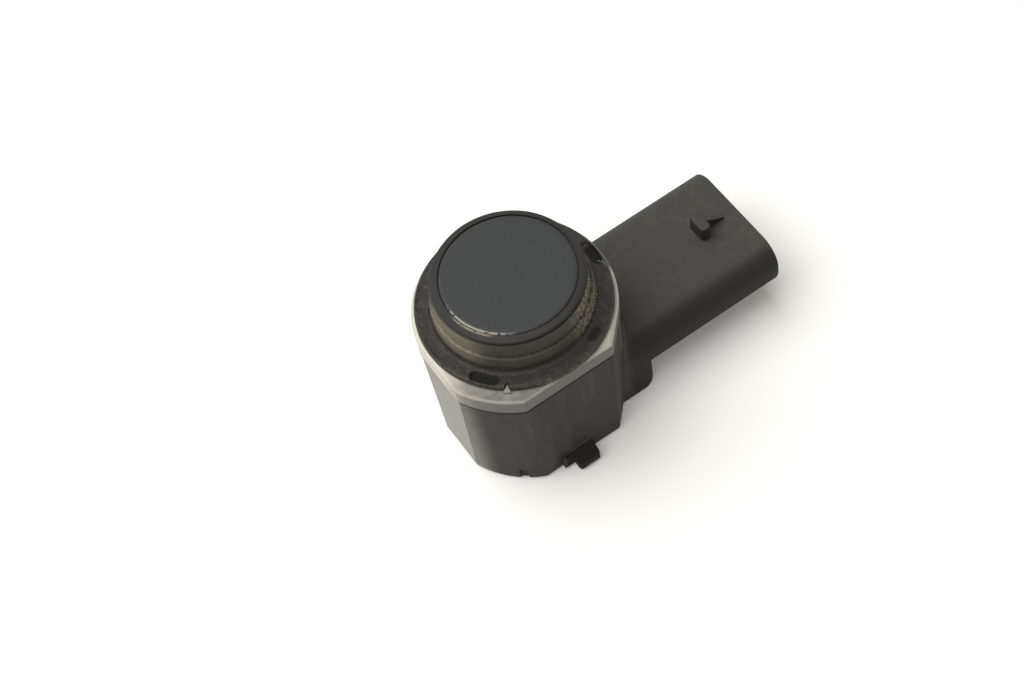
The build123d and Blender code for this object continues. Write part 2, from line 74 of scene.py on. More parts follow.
# Bearings 218 and 357: dimples filled with painted shade
OPEN_DIMPLE = 218
TORN_DIMPLE = 357
# Bearing 296: a darkened spot on the flange
DARK_SPOT = 296
# Bearing 178: the side of the clamp ring that faces the light, given painted light
LIT_RING = 178
# Bearing 243: grime and painted shade over the clamp ring's front
GRIMY_SHADED_FRONT = 243
# Bearing 8: the clamp ring is made darker there
DARKENED_BACK = 8
# Bearing 185: the lit side, where the painted shade under the clamp ring is left off
LIT_SEAM = 185
# Bearing 329: a narrow painted reflection on the housing's round side
REFLECTION_STRIP = 329

# Places of the housing's forms that its marks keep to, in millimetres
LUG_HEIGHT = 3.4
LUG_WIDTH = 5.2
SHROUD_START = 4

# Ends of the scratch beside the socket's root, in millimetres
SCRATCH = ((12.85, -6.35, 10.5), (13.25, -6.3, 10.5))
# Bearing and radius of the points along the curl of torn rubber
CURL = ((350, 10.2), (349.5, 10.5), (348.4, 10.7), (346.5, 10.8), (344, 10.85))


def top_of(node):
    """Height of the highest point of a CAD node in millimetres."""
    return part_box(node)[1].z / MM


def bottom_of(node):
    """Height of the lowest point of a CAD node in millimetres."""
    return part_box(node)[0].z / MM


def reach_of(node):
    """Largest distance of a CAD node towards +X in millimetres."""
    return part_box(node)[1].x / MM


def chosen(name):
    """The scene's settings of this name."""
    return getattr(bpy.context.scene, name)


def flange_top():
    """Height of the rubber flange's upper side in millimetres."""
    thickness = chosen("sensor_ring").thickness + chosen("sensor_rubber").flange_thickness
    return top_of("housing") + thickness / MM


# Properties


def length(name, description, default):
    """A length, with its default in millimetres."""
    return FloatProperty(
        name=name,
        description=description,
        default=default * MM,
        precision=5,
        subtype="DISTANCE",
        unit="LENGTH",
    )


def angle(name, description, default):
    """An angle, with its default in degrees."""
    return FloatProperty(
        name=name, description=description, default=math.radians(default), subtype="ANGLE"
    )


def amount(name, description, default):
    """A plain number."""
    return FloatProperty(name=name, description=description, default=default)


def colour(name, description, default):
    """A linear colour."""
    return FloatVectorProperty(name=name, description=description, default=default, subtype="COLOR")


def millimetres(settings):
    """The lengths of some settings in millimetres, by name."""
    fields = [each.identifier for each in settings.bl_rna.properties if each.type == "FLOAT"]
    return SimpleNamespace(
        **{name: getattr(settings, name) / MM for name in fields if is_length(settings, name)}
    )


def is_length(settings, name):
    return settings.bl_rna.properties[name].unit == "LENGTH"


class FaceSettings(bpy.types.PropertyGroup):
    radius: length("Face radius", "Radius of the round membrane", reach_of("transducer_cup"))
    edge_rounding: length("Edge rounding", "Rounding of the membrane's edge", 0.34)
    crown: length("Crown", "How far the middle stands above the edge", 0.03)
    rim_thickness: length("Rim thickness", "Height of the membrane's rim", 1.6)
    cup_step: length("Cup step", "Step in under the rim", 0.58)
    # The bright line along the edge is a painted highlight as well as wear
    worn_width: length("Worn width", "Width of the bright worn line along the edge", 0.2)
    paint: colour("Paint", "Colour of the paint", (0.0235, 0.0246, 0.0250))
    # Colour of the rubbed edge and of the painted highlight on it
    worn_and_highlight: colour("Worn edge", "Colour where the paint is rubbed", (0.62, 0.61, 0.56))
    speck: colour("Specks", "Colour of the specks of dust", (0.16, 0.155, 0.14))


class RubberSettings(bpy.types.PropertyGroup):
    flange_radius: length("Flange radius", "Radius of the flange", reach_of("decoupling_ring"))
    flange_thickness: length("Flange thickness", "Thickness of the flange", 0.85)
    flange_rounding: length("Flange rounding", "Rounding of the flange's upper edge", 0.3)
    groove_gap: length("Groove", "Gap between the membrane and the lip", 0.17)
    groove_depth: length("Groove depth", "Depth that the dirt in the groove leaves", 0.22)
    lip_width: length("Lip width", "Width of the lip beyond the membrane", 0.95)
    lip_height: length("Lip height", "Height of the lip's outer side", 0.42)
    lip_fall: length("Lip fall", "How far the lip's top falls outwards", 0.14)
    lip_rounding: length("Lip rounding", "Rounding of the lip's outer edge", 0.24)
    lip_lean: length("Lip lean", "How far the lip is pushed off the axis", 0.12)
    seam_height: length("Seam height", "Height of the groove under the lip", 0.16)
    seam_depth: length("Seam depth", "Depth of the groove under the lip", 0.35)
    neck_step: length("Neck step", "How far the neck stands out from the lip", 0.17)
    ledge_drop: length("Ledge drop", "Depth of the ledge below the lip's top", 2.85)
    ledge_width: length("Ledge width", "Width of the ledge", 0.34)
    foot_radius: length("Foot radius", "Radius of the neck at the flange", 9.25)
    cove_radius: length("Cove", "Radius of the cove between neck and flange", 0.55)
    bore_radius: length("Bore", "Radius of the bore round the cup", 7.05)
    skirt_radius: length("Skirt", "Radius of the skirt inside the clamp ring", 9.4)
    snap_radius: length("Snap groove", "Radius of the skirt's snap groove", 8.9)
    bead_radius: length("Bead", "Radius of the bead inside the housing", 9.63)
    mouth_radius: length("Mouth", "Radius of the opening under the cup", 6.2)
    dimple_length: length("Dimple length", "Length of the oval dimples", 3.4)
    dimple_width: length("Dimple width", "Width of the oval dimples", 1.15)
    dimple_depth: length("Dimple depth", "Depth of the oval dimples", 0.35)
    dimple_softness: length("Dimple softness", "Width of the soft edge of the dimples", 0.3)
    dimple_radius: length("Dimple radius", "Distance of the dimples from the axis", 10.3)
    waviness: length("Waviness", "Depth of the slow waves in the rubber", 0.03)
    clean: colour("Rubber", "Colour of clean rubber", (0.021, 0.020, 0.017))
    dust: colour("Dust", "Colour of the road dust", (0.19, 0.17, 0.125))
    mud: colour("Mud", "Colour of the brown dirt in the cove", (0.011, 0.008, 0.005))
    # Painted shade that fills the open dimples
    hole_shade: colour("Holes", "Colour inside the open dimples", (0.003, 0.003, 0.0025))


class RingSettings(bpy.types.PropertyGroup):
    body_radius: length("Body radius", "Radius of the housing's round side at its top", 11.4)
    overhang: length("Overhang", "How far the clamp ring stands out over the housing", 0.12)
    thickness: length("Thickness", "Height of the clamp ring's outer band", 2.5)
    chamfer: length("Chamfer", "Bevel along the band's edges", 0.25)
    edge_rounding: length("Edge rounding", "Rounding of the bevel's edges", 0.1)
    spigot_radius: length("Spigot radius", "Outer radius of the spigot in the housing", 10.2)
    spigot_wall: length("Spigot wall", "Wall of the spigot", 0.45)
    lip_height: length("Snap lip", "Height of the lip that grips the rubber", 0.9)
    clearance: length("Clearance", "Gap round the rubber", 0.15)
    lip_clearance: length("Lip clearance", "Gap in the snap groove", 0.06)
    key_drop_x: length("Side flat", "How far the flat side is set back", 0.13)
    key_drop_y: length("Front flat", "How far the flat front is set back", 0.55)
    key_corner_reach: length("Corner reach", "How far the squared corner stands out", 1.05)
    key_end_x: length("Front flat end", "Where the flat front ends", 5.4)
    key_end_y: length("Side flat end", "Where the flat side ends", 2.2)
    key_depth: length("Key depth", "Width of the band that takes the keyed form", 0.8)
    waviness: length("Waviness", "Depth of the slow waves in the ring", 0.015)
    tooth_reach: length("Tooth reach", "How far the tooth cuts into the flange", 0.55)
    tooth_width: length("Tooth width", "Width of the tooth at its root", 1.1)
    tooth_proud: length("Tooth height", "How far the tooth stands above the flange", -0.1)
    tooth_fall: length("Tooth fall", "How far the tooth's top falls towards its root", 0.55)
    tooth_gap: length("Tooth gap", "Gap round the tooth", 0.06)
    tooth_bevel: length("Tooth bevel", "Height of the bevel round the tooth's top", 0.1)
    tooth_bearing: angle("Tooth bearing", "Place of the tooth round the axis", 232)
    plastic: colour("Ring plastic", "Colour of the clamp ring", (0.58, 0.56, 0.49))
    # Used both for grime and for painted shade on the clamp ring
    grime_and_shade: colour("Ring grime", "Colour of the dirt on the clamp ring", (0.16, 0.15, 0.135))


class HousingSettings(bpy.types.PropertyGroup):
    plastic: colour("Housing plastic", "Colour of the moulded housing", (0.021, 0.0205, 0.0175))
    dust: colour("Housing dust", "Colour of dust on the housing", (0.17, 0.16, 0.135))
    rubbed: colour("Rubbed marks", "Colour of the pale rubbed marks", (0.30, 0.29, 0.24))


class GritSettings(bpy.types.PropertyGroup):
    grain: length("Grain", "Size of a grain of sand", 0.2)
    bearing: angle("Grit bearing", "Middle of the sandy part round the axis", 310)
    spread: angle("Grit spread", "Half the width of the sandy part", 26)
    density: amount("Grit density", "Grains on a square millimetre at its middle", 3.6)
    lowest: length("Lowest grit", "Height above the flange where the sand starts", 0.1)
    highest: length("Highest grit", "Height above the flange where the sand ends", 3.4)
    inward: length("Inward grit", "How far inside the neck's foot the sand reaches", 0.7)
    seed: IntProperty(name="Grit seed", description="Seed of the scatter", default=5)
    sand: colour("Sand", "Colour of the sand", (0.42, 0.37, 0.27))


class StageSettings(bpy.types.PropertyGroup):
    azimuth: angle("Camera azimuth", "Angle of the camera round the sensor", 23.974)
    elevation: angle("Camera elevation", "Angle of the camera above the floor", 58.693)
    roll: angle("Camera roll", "Turn of the camera about its line of sight", 12.226)
    pan: angle("Camera pan", "Small turn sideways", 0.303)
    tilt: angle("Camera tilt", "Small turn upwards", 0.042)
    distance: length("Camera distance", "From the camera to its target", 227.36)
    target_height: length("Target height", "Height on the axis that the camera is set from", 11.481)
    lens: amount("Lens", "Focal length in millimetres", 70.3125)
    sun_bearing: angle("Sun bearing", "Direction of the key light about Z, from +X", 153)
    sun_height: angle("Sun height", "Angle of the key light above the floor", 66)
    sun_spread: angle("Sun spread", "Apparent size of the key light", 62)
    sun_strength: amount("Sun strength", "Strength of the key light", 2.75)
    sky_strength: amount("Sky strength", "Strength of the soft light from all sides", 0.21)
    sky: colour("Sky", "Colour of the soft light from all sides", (1.0, 0.9, 0.76))
    floor: colour("Floor", "Colour of the floor", (0.97, 0.958, 0.94))
    floor_glow: amount("Floor glow", "What the camera sees added to the floor", 0.14)
    floor_reach: length("Floor reach", "Half the side of the floor", 2000)
    floor_drop: length("Floor drop", "Gap that keeps the floor clear of the part", 0.02)


# Node trees


class Value:
    """A number socket. Used in an expression it adds the Math nodes for it."""

    def __init__(self, tree, socket):
        self.tree = tree
        self.socket = socket

    def math(self, operation, first, second=0.0):
        node = self.tree.node("ShaderNodeMath", {"operation": operation}, {0: first, 1: second})
        return Value(self.tree, node.outputs[0])

    def __add__(self, other):
        return self.math("ADD", self, other)

    def __radd__(self, other):
        return self.math("ADD", other, self)

    def __sub__(self, other):
        return self.math("SUBTRACT", self, other)

    def __rsub__(self, other):
        return self.math("SUBTRACT", other, self)

    def __mul__(self, other):
        return self.math("MULTIPLY", self, other)

    def __rmul__(self, other):
        return self.math("MULTIPLY", other, self)

    def __truediv__(self, other):
        return self.math("DIVIDE", self, other)

    def __pow__(self, other):
        return self.math("POWER", self, other)

    def __gt__(self, other):
        return self.math("GREATER_THAN", self, other)

    def __lt__(self, other):
        return self.math("LESS_THAN", self, other)

    def size(self):
        """The value without its sign."""
        return self.math("ABSOLUTE", self)

    def at_most(self, other):
        return self.math("MINIMUM", self, other)

    def at_least(self, other):
        return self.math("MAXIMUM", self, other)

    def between(self, low, high):
        """Smooth step from 0 at low to 1 at high. With high below low it falls instead."""
        flip = high < low
        node = self.tree.node(
            "ShaderNodeMapRange",
            {"interpolation_type": "SMOOTHSTEP"},
            {"Value": self, "From Min": min(low, high), "From Max": max(low, high)},
        )
        step = Value(self.tree, node.outputs["Result"])
        return 1 - step if flip else step


class Nodes:
    """Adds nodes to one tree, each with its settings first and then its inputs."""

    def __init__(self, tree):
        self.tree = tree

    def node(self, kind, settings=None, inputs=None):
        node = self.tree.nodes.new(kind)
        for key, value in (settings or {}).items():
            setattr(node, key, value)
        for key, value in (inputs or {}).items():
            self.feed(node.inputs[key], value)
        return node

    def feed(self, socket, value):
        """Links a value, a node's socket or a constant to a socket."""
        value = value.socket if isinstance(value, Value) else value
        if isinstance(value, bpy.types.NodeSocket):
            self.tree.links.new(value, socket)
        else:
            socket.default_value = value

    def axes(self, place):
        """The three numbers of a vector socket."""
        parts = self.node("ShaderNodeSeparateXYZ", None, {0: place})
        return [Value(self, parts.outputs[index]) for index in range(3)]


class Finish(Nodes):
    """One surface finish: a Principled shader with layers of colour, in millimetres."""

    def __init__(self, name, shade):
        self.material = bpy.data.materials.new(name)
        self.material.use_nodes = True
        super().__init__(self.material.node_tree)
        self.shader = self.tree.nodes["Principled BSDF"]
        self.place = self.node("ShaderNodeTexCoord").outputs["Object"]
        self.x, self.y, self.z = [axis / MM for axis in self.axes(self.place)]
        self.radius = (self.x * self.x + self.y * self.y) ** 0.5
        facing = self.axes(self.node("ShaderNodeNewGeometry").outputs["Normal"])
        self.towards_x, self.towards_y, self.upward = facing
        self.shade = shade
        self.normal = None

    def noise(self, size, detail=2.0, roughness=0.5, stretch=(1, 1, 1), shift=0.0):
        """Cloudy pattern whose features are about this size in millimetres."""
        place = self.node(
            "ShaderNodeMapping",
            None,
            {"Vector": self.place, "Scale": stretch, "Location": (shift, shift, shift)},
        )
        inputs = {"Vector": place.outputs[0], "Scale": 1 / (size * MM)}
        inputs |= {"Detail": detail, "Roughness": roughness}
        return Value(self, self.node("ShaderNodeTexNoise", None, inputs).outputs["Fac"])

    def specks(self, spacing, size, share=0.5):
        """Scattered round specks, on about this share of the cells."""
        inputs = {"Vector": self.place, "Scale": 1 / (spacing * MM)}
        cells = self.node("ShaderNodeTexVoronoi", None, inputs)
        chosen = self.axes(cells.outputs["Color"])[0] < share
        near = Value(self, cells.outputs["Distance"]).between(size / spacing, size / spacing / 2)
        return near * chosen

    def along(self, bearing):
        """Distance from the sensing axis in the direction of this bearing."""
        turn = math.radians(bearing)
        return self.x * math.cos(turn) + self.y * math.sin(turn)

    def facing(self, bearing):
        """Cosine of the angle about the sensing axis from this bearing."""
        return self.along(bearing) / self.radius

    def oblong(self, bearing, radius, half_length, half_width, soft):
        """1 on a rounded oblong that lies across this bearing at this radius, 0 outside it."""
        spare = (self.along(bearing + 90).size() - half_length).at_least(0)
        off = (self.radius - radius) * (self.along(bearing) > 0)
        away = (spare * spare + off * off) ** 0.5
        front = self.along(bearing) > 0
        return away.between(half_width + soft, half_width) * front

    def streak(self, start, end, half_width, soft):
        """1 along a straight line between two points on the surface, 0 away from it."""
        start, end = Vector(start), Vector(end)
        run = (end - start).length
        course = (end - start) / run
        offset = [axis - first for axis, first in zip((self.x, self.y, self.z), start)]
        share = offset[0] * course.x + offset[1] * course.y + offset[2] * course.z
        share = share.at_least(0).at_most(run)
        away = [part - share * step for part, step in zip(offset, course)]
        distance = (away[0] * away[0] + away[1] * away[1] + away[2] * away[2]) ** 0.5
        return distance.between(half_width + soft, half_width)

    def mix(self, share, first, second):
        node = self.node(
            "ShaderNodeMix",
            {"data_type": "RGBA"},
            {"Factor": share, 6: rgba(first), 7: rgba(second)},
        )
        return node.outputs[2]

    def cover(self, share, shade):
        """Lays a colour over the finish, fully where the share is 1."""
        self.shade = self.mix(share, self.shade, shade)

    def rounded_edges(self, radius):
        """Softens sharp edges in the shading."""
        bevel = self.node("ShaderNodeBevel", {"samples": 6}, {"Radius": radius * MM})
        self.normal = bevel.outputs[0]

    def bump(self, height, depth):
        """Adds a relief of this depth in millimetres for heights from 0 to 1."""
        inputs = {"Height": height, "Distance": depth * MM, "Strength": 1.0}
        if self.normal is not None:
            inputs["Normal"] = self.normal
        self.normal = self.node("ShaderNodeBump", None, inputs).outputs[0]

    def finish(self, roughness, **fixed):
        """Connects what varies and sets the rest on the shader's own sockets."""
        self.feed(self.shader.inputs["Base Color"], rgba(self.shade))
        self.feed(self.shader.inputs["Roughness"], roughness)
        for name, value in fixed.items():
            self.shader.inputs[name.replace("_", " ")].default_value = value
        if self.normal is not None:
            self.tree.links.new(self.normal, self.shader.inputs["Normal"])
        return self.material


def rgba(shade):
    """A colour with full alpha, or the socket as it is."""
    return shade if isinstance(shade, bpy.types.NodeSocket) else (*tuple(shade)[:3], 1.0)


def times(shade, factor):
    """A colour made lighter or darker."""
    return tuple(part * factor for part in tuple(shade)[:3])


# Meshes


def made(name, vertices, faces, material):
    """Object at the origin from vertices in millimetres, smooth but for its sharp edges."""
    mesh = bpy.data.meshes.new(name)
    mesh.from_pydata((np.asarray(vertices, float) * MM).tolist(), [], faces)
    form = bmesh.new()
    form.from_mesh(mesh)
    bmesh.ops.remove_doubles(form, verts=form.verts, dist=1e-7)
    bmesh.ops.recalc_face_normals(form, faces=form.faces)
    form.to_mesh(mesh)
    form.free()
    mesh.shade_smooth()
    mesh.set_sharp_from_angle(angle=SHARP_ANGLE)
    mesh.materials.append(material)
    piece = bpy.data.objects.new(name, mesh)
    bpy.context.scene.collection.objects.link(piece)
    return piece


def rounded(corners, closed, steps=6):
    """Outline through (radius, height, rounding) corners, with each rounding as a short arc."""
    points = []
    for index, (radius, height, rounding) in enumerate(corners):
        here = np.array((radius, height), float)
        if not rounding or (not closed and index in (0, len(corners) - 1)):
            points.append(here)
            continue
        before = np.array(corners[index - 1][:2], float) - here
        after = np.array(corners[(index + 1) % len(corners)][:2], float) - here
        before /= np.linalg.norm(before)
        after /= np.linalg.norm(after)
        half = math.acos(float(np.clip(before @ after, -1, 1))) / 2
        middle = before + after
        centre = here + middle / np.linalg.norm(middle) * rounding / math.sin(half)
        start = here + before * rounding / math.tan(half) - centre
        end = here + after * rounding / math.tan(half) - centre
        sweep = math.pi - 2 * half
        for step in range(steps + 1):
            share = step / steps
            weights = math.sin((1 - share) * sweep), math.sin(share * sweep)
            points.append(centre + (weights[0] * start + weights[1] * end) / math.sin(sweep))
    return np.array(points)


def divided(points, spacing, closed):
    """The same outline with points no further apart than this spacing."""
    ends = np.roll(points, -1, axis=0) if closed else points[1:]
    result = []
    for start, end in zip(points, ends):
        parts = max(1, math.ceil(float(np.linalg.norm(end - start)) / spacing))
        result += [start + (end - start) * part / parts for part in range(parts)]
    if not closed:
        result.append(points[-1])
    return np.array(result)


def circle(steps, extra=()):
    """Angles of a full turn, with some more put in at their places."""
    even = np.linspace(0, 2 * math.pi, steps, endpoint=False)
    return np.unique(np.round(np.concatenate((even, np.mod(extra, 2 * math.pi))), 7))


def turned(name, outline, angles, closed, material, shape=None):
    """Outline of (radius, height) points turned about Z. shape may move them at each angle."""
    steps, count = len(angles), len(outline)
    turn = np.repeat(angles, count)
    radius = np.tile(outline[:, 0], steps)
    height = np.tile(outline[:, 1], steps)
    if shape is not None:
        radius, height = shape(turn, radius, height)
    vertices = np.stack((radius * np.cos(turn), radius * np.sin(turn), height), axis=1)
    faces = []
    for step in range(steps):
        here, there = step * count, (step + 1) % steps * count
        for point in range(count if closed else count - 1):
            after = (point + 1) % count
            faces.append((here + point, there + point, there + after, here + after))
    return made(name, vertices, faces, material)


def swept(name, path, thickness, material, sides=8):
    """Round strand along a path of points, pointed at both ends."""
    path = [Vector(point) for point in path]
    vertices, faces = [], []
    for index, point in enumerate(path):
        before, after = path[max(index - 1, 0)], path[min(index + 1, len(path) - 1)]
        course = (after - before).normalized()
        across = course.orthogonal().normalized()
        other = course.cross(across)
        size = thickness / 2 * math.sin(math.pi * (index + 0.5) / len(path)) ** 0.5
        for side in range(sides):
            turn = 2 * math.pi * side / sides
            vertices.append(point + (across * math.cos(turn) + other * math.sin(turn)) * size)
    for ring in range(len(path) - 1):
        for side in range(sides):
            after = (side + 1) % sides
            low, high = ring * sides, (ring + 1) * sides
            faces.append((low + side, low + after, high + after, high + side))
    faces.append(tuple(range(sides)))
    faces.append(tuple(range(len(vertices) - sides, len(vertices))))
    return made(name, vertices, faces, material)


def ripple(turn, height, size, seed):
    """Slow random wave from -1 to 1 round a turned piece, the same on every run."""
    x, y = np.cos(turn) * size, np.sin(turn) * size
    return np.array(
        [noise.noise(Vector((a, b, c)) + Vector((seed, 0, 0))) for a, b, c in zip(x, y, height)]
    )


def turned_from(turn, bearing):
    """Signed angle from a bearing in degrees, in radians."""
    return (turn - math.radians(bearing) + math.pi) % (2 * math.pi) - math.pi


def keyed_outline(size, grow):
    """The keyed outline's flats, corner and the angles where they meet, grown outwards."""
    base = size.body_radius + grow
    flat_x = size.key_drop_x - base
    flat_y = size.key_drop_y - base
    corner = base + size.key_corner_reach
    side_end = math.atan2(size.key_end_y, flat_x)
    front_end = math.atan2(flat_y, size.key_end_x)
    side = side_end - math.acos(base / math.hypot(flat_x, size.key_end_y))
    front = front_end + math.acos(base / math.hypot(size.key_end_x, flat_y))
    meets = (
        side,
        side_end,
        math.atan2(-math.sqrt(corner**2 - flat_x**2), flat_x),
        math.atan2(flat_y, -math.sqrt(corner**2 - flat_y**2)),
        front_end,
        front,
    )
    return SimpleNamespace(
        base=base, flat_x=flat_x, flat_y=flat_y, corner=corner, side=side, front=front, meets=meets
    )


def keyed_radius(turn, key):
    """Distance from the axis to the keyed outline at each angle."""
    limits = [
        key.base / np.maximum(np.cos(turn - key.side), 0.2),
        key.base / np.maximum(np.cos(turn - key.front), 0.2),
        key.flat_x / np.minimum(np.cos(turn), -0.2),
        key.flat_y / np.minimum(np.sin(turn), -0.2),
    ]
    keyed = np.minimum(key.corner, np.min(limits, axis=0))
    past_side = (turn - key.side) % (2 * math.pi)
    inside = past_side < (key.front - key.side) % (2 * math.pi)
    return np.where(inside, keyed, key.base)


def dress(node, material):
    """Puts a finish on a CAD node."""
    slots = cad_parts[node].data.materials
    slots.clear()
    slots.append(material)


def settled(piece, slot, *nodes):
    """Fixes a finished piece to the body, for the CAD nodes that it stands for."""
    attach(piece, BODY)
    if nodes:
        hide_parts(*nodes)


# Finishes


def face_paint(settings):
    """Matt primer: fine grain, faint clouds, specks of dust and an edge rubbed bright, with a
    painted highlight where it faces the light.
    """
    size = millimetres(settings)
    finish = Finish("membrane_paint", times(settings.paint, 0.93))
    fine = finish.noise(0.11, 2)
    cloud = finish.noise(2.2, 4, 0.6)
    finish.cover(cloud.between(0.35, 0.68), times(settings.paint, 1.07))
    coarse = finish.noise(0.22, 3, 0.7, shift=0.005)
    finish.cover(coarse.between(0.35, 0.7) * 0.6, times(settings.paint, 1.9))
    finish.cover(fine.between(0.5, 0.75) * 0.5, times(settings.paint, 2.4))
    finish.cover(finish.specks(0.7, 0.06, 0.3) * 0.5, settings.speck)
    edge = finish.radius.between(size.radius - size.worn_width, size.radius - size.worn_width / 2)
    rubbed = finish.noise(0.5, 3, 0.6).between(0.3, 0.5) * edge
    # Painted highlight: the rubbed edge is kept mostly to the side that faces the light
    rubbed = rubbed * (0.1 + 0.9 * finish.facing(RUBBED_EDGE_HIGHLIGHT).between(0.8, 0.96))
    finish.cover(rubbed * 0.8, settings.worn_and_highlight)
    finish.bump(coarse, 0.03)
    return finish.finish(0.52 + cloud * 0.1 - rubbed * 0.25, IOR=1.38)


def rubber(settings):
    """Matt rubber: dust and painted light on the neck's lit side, mud in the cove, painted shade in
    the dimples, a darkened spot and a painted highlight on the lip's inner edge.
    """
    size = millimetres(settings)
    finish = Finish("decoupling_rubber", settings.clean)
    top = top_of("decoupling_ring")
    flange = flange_top()
    fine = finish.noise(0.1, 3, 0.6)
    patch = finish.noise(1.1, 5, 0.65)
    small = finish.noise(0.4, 4, 0.65, shift=0.002)
    streaky = finish.noise(0.9, 4, 0.6, stretch=(1, 1, 0.4))
    lip = finish.z.between(top - 0.7, top - 0.5)
    neck = finish.z.between(flange + 0.3, flange + 0.9) * (1 - lip)
    low = 1 - finish.z.between(flange + 0.2, flange + 1.4)
    finish.cover(patch.between(0.4, 0.66) * 0.08 + fine * 0.03, settings.dust)
    # Dust and painted light: the neck and its ledge are lightened with the dust colour on the side
    # that faces the light
    lit_left = finish.facing(LIT_NECK).between(0.8, 0.99)
    coat = 0.2 * streaky + 0.7 * lit_left
    finish.cover(lip * 0.8, times(settings.clean, 0.4))
    finish.cover((neck * coat).at_most(1), settings.dust)
    ledge = finish.z.between(flange + 2.1, flange + 2.25) * finish.z.between(top - 2.6, top - 2.8)
    finish.cover(ledge * small.between(0.4, 0.6) * (0.1 + 0.5 * lit_left), times(settings.dust, 1.5))
    brown = finish.noise(1.0, 4, 0.6, shift=0.003).between(0.36, 0.5) * low
    finish.cover(brown * 0.8, settings.mud)
    finish.cover(small.between(0.55, 0.7) * low * 0.25, settings.dust)
    sandy = finish.facing(SANDY_NECK).between(0.9, 0.98) * small.between(0.44, 0.6) * neck
    finish.cover(sandy * 0.8, times(settings.dust, 1.3))
    # Painted shade: the open and torn dimples are filled near black, and one more spot on the
    # flange is darkened
    open_dimple = finish.oblong(OPEN_DIMPLE, size.dimple_radius, 1.15, 0.35, 0.35)
    torn_dimple = finish.oblong(TORN_DIMPLE, size.dimple_radius + 0.15, 0.75, 0.4, 0.3)
    spot = finish.oblong(DARK_SPOT, size.dimple_radius - 0.1, 0.5, 0.25, 0.5) * 0.8
    dimple_shade_and_spot = open_dimple.at_least(torn_dimple).at_least(spot)
    dimple_shade_and_spot = (dimple_shade_and_spot * (0.6 + 0.9 * small)).at_most(1)
    finish.cover(dimple_shade_and_spot, settings.hole_shade)
    edge = (finish.radius - size.flange_radius).size().between(0.25, 0.02) * low
    finish.cover(edge * small.between(0.35, 0.6) * 0.25, settings.dust)
    # Painted highlight: the lip's inner edge is lightened with a mottled dust colour where it faces
    # the light
    mouth = reach_of("transducer_cup") + size.groove_gap
    inner = finish.radius.between(mouth + 0.3, mouth + 0.1)
    inner = inner * finish.z.between(top - 0.15, top - 0.05)
    inner = inner * finish.facing(LIP_HIGHLIGHT).between(0.93, 0.99)
    finish.cover(inner * small.between(0.3, 0.5) * 0.8, times(settings.dust, 1.8))
    finish.bump(fine, 0.02)
    finish.bump(patch, 0.05)
    rough = 0.5 + patch * 0.2 - 0.2 * lit_left * neck
    return finish.finish(rough + dimple_shade_and_spot * 0.3, IOR=1.4)


def ring_plastic(settings):
    """Pale plastic with wear: grime and painted shade over its front and its outer side, painted
    light on the side that faces the light, a painted highlight along its upper edge and painted
    shade along its foot.
    """
    size = millimetres(settings)
    finish = Finish("clamp_ring_plastic", times(settings.plastic, 0.88))
    bottom = top_of("housing")
    top = bottom + size.thickness
    cloud = finish.noise(1.4, 4, 0.6)
    fine = finish.noise(0.25, 4, 0.65)
    wall = finish.z.between(top - 0.15, top - 0.45)
    rim = finish.z.between(top - 0.35, top - 0.18) * finish.z.between(top + 0.01, top - 0.05)
    # Grime and painted shade: the front is darkened, and so is all but the side that faces the
    # light
    front = finish.facing(GRIMY_SHADED_FRONT).between(0.55, 0.9)
    # Painted light: the ring is made paler on the side that faces the light
    lit_left = finish.facing(LIT_RING).between(0.72, 0.93)
    finish.cover(cloud.between(0.35, 0.65), settings.plastic)
    finish.cover(lit_left * 0.8, times(settings.plastic, 1.4))
    dirt = front * (0.65 + 0.3 * cloud.between(0.35, 0.7)) + 0.3 * cloud * (1 - lit_left)
    finish.cover(dirt.at_most(1), settings.grime_and_shade)
    # Painted shade: the ring's outer side below the upper edge is darkened, except on the side that
    # faces the light
    finish.cover(wall * (1 - 0.85 * lit_left), times(settings.grime_and_shade, 0.75))
    # Painted highlight along the ring's rounded upper edge
    finish.cover(rim * (0.25 + 0.35 * cloud), settings.plastic)
    finish.cover(fine.between(0.55, 0.7) * 0.25, times(settings.grime_and_shade, 0.6))
    # Darker round the back bearing
    darkened_back = (finish.facing(DARKENED_BACK) + 0.06 * (cloud - 0.5)).between(0.9, 0.95)
    finish.cover(darkened_back * 0.9, times(settings.grime_and_shade, 0.2))
    # Painted shade in the gap between the ring and the housing, except on the side that faces the
    # light
    foot = finish.z.between(bottom + 0.6, bottom + 0.25) * (1 - lit_left)
    finish.cover(foot * 0.85, times(settings.grime_and_shade, 0.15))
    finish.rounded_edges(0.1)
    finish.bump(fine, 0.02)
    return finish.finish(0.36 + fine * 0.12, IOR=1.45)


